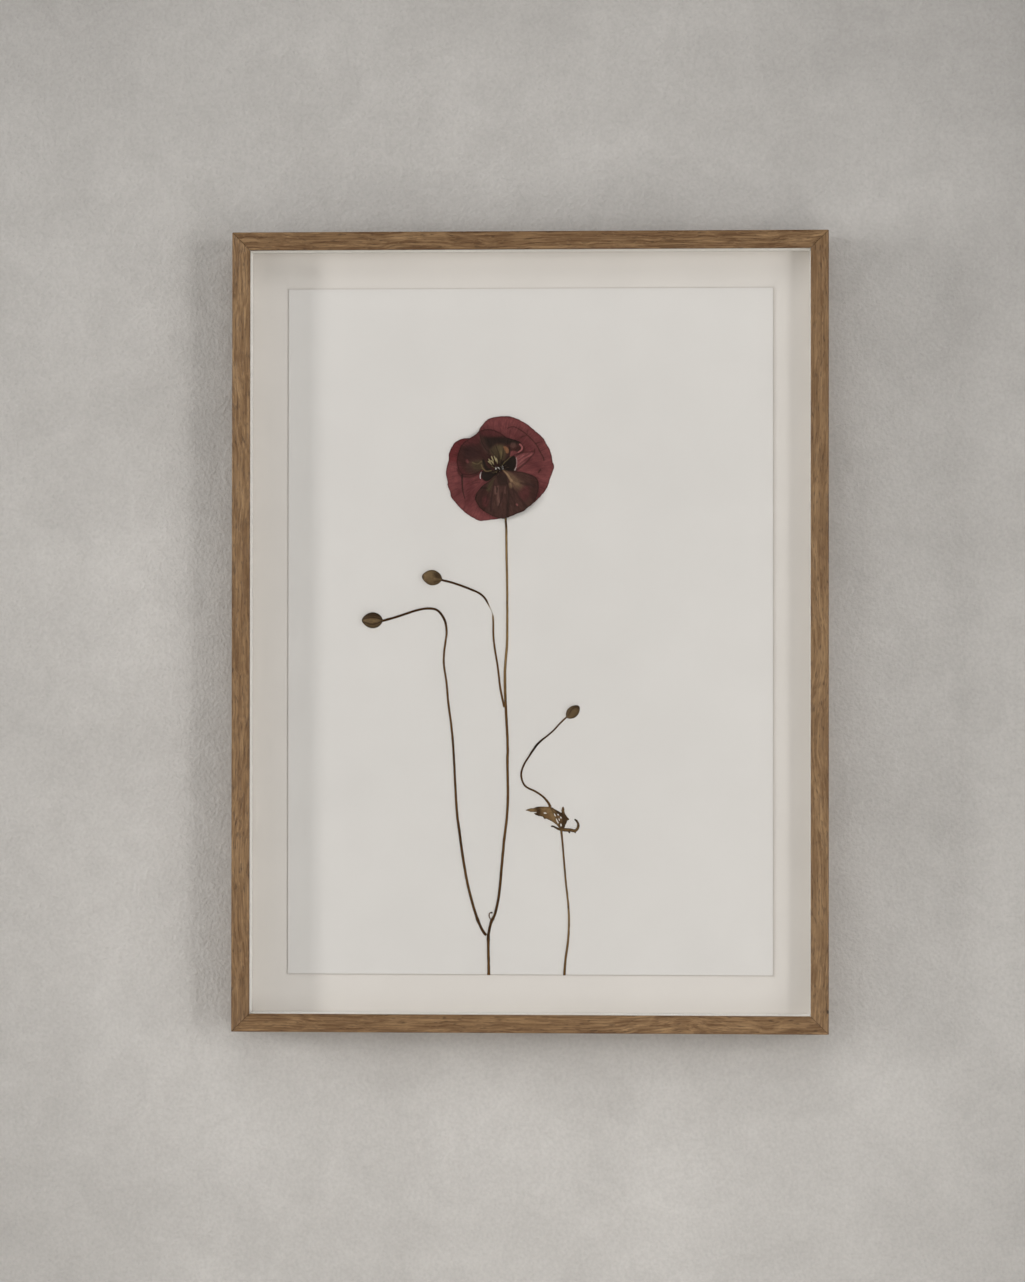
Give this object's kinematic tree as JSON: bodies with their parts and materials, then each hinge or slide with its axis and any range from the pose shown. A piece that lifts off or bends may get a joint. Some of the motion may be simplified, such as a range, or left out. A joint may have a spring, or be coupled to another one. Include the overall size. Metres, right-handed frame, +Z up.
{
  "type": "pressed flower frame",
  "caption": "Pressed poppy with stems, buds and a torn leaf on a loose paper sheet, behind glass in a slim oak box frame that hangs on a wall.",
  "frame": {"origin": "the point on the wall where the nail carries the hanger, at the frame's mid width and 26 mm below its top edge", "axes": "+Z up, +Y into the wall, so the glass faces -Y; +X to the right of someone who looks at the glass"},
  "size_m": [0.3636, 0.0323, 0.488],
  "materials": {
    "oak": "oiled oak, satin, grain along each rail",
    "clear_glass": "clear float glass",
    "white_spacer": "matt white card",
    "mount_card": "matt warm white mount board",
    "cotton_paper": "matt cotton paper",
    "backing_board": "brown fibreboard",
    "steel": "zinc plated steel",
    "felt": "grey felt",
    "red_petal": "dried petal, dull wine red with veins",
    "dark_petal": "dried petal, nearly black at its base",
    "flower_eye": "dried stamens and pistil, olive",
    "dry_stem": "dried stem, ribbed and hairy",
    "dry_bud": "dried bud, ribbed and hairy",
    "dry_leaf": "dried leaf, brown olive"
  },
  "bodies": {
    "root": {"rail_top": "oak", "rail_bottom": "oak", "stile_left": "oak", "stile_right": "oak", "glass_pane": "clear_glass", "spacer_top": "white_spacer", "spacer_bottom": "white_spacer", "spacer_left": "white_spacer", "spacer_right": "white_spacer", "mount_board": "mount_card", "paper_sheet": "cotton_paper", "backing_board": "backing_board", "tab_top_1": "steel", "tab_top_2": "steel", "tab_bottom_1": "steel", "tab_bottom_2": "steel", "tab_left_1": "steel", "tab_left_2": "steel", "tab_left_3": "steel", "tab_right_1": "steel", "tab_right_2": "steel", "tab_right_3": "steel", "hanger_plate": "steel", "hanger_rivet_left": "steel", "hanger_rivet_right": "steel", "felt_pad_top_a": "felt", "felt_pad_top_b": "felt", "felt_pad_bottom_a": "felt", "felt_pad_bottom_b": "felt", "petal_back_right": "red_petal", "petal_back_left": "red_petal", "petal_front_top": "dark_petal", "petal_front_bottom": "dark_petal", "flower_centre": "flower_eye", "main_stem": "dry_stem", "base_stem": "dry_stem", "left_bud_stem": "dry_stem", "upper_bud_stem": "dry_stem", "right_stem": "dry_stem", "right_bud_stem": "dry_stem", "bract": "dry_stem", "left_bud": "dry_bud", "upper_bud": "dry_bud", "right_bud": "dry_bud", "leaf": "dry_leaf"}
  },
  "joints": []
}
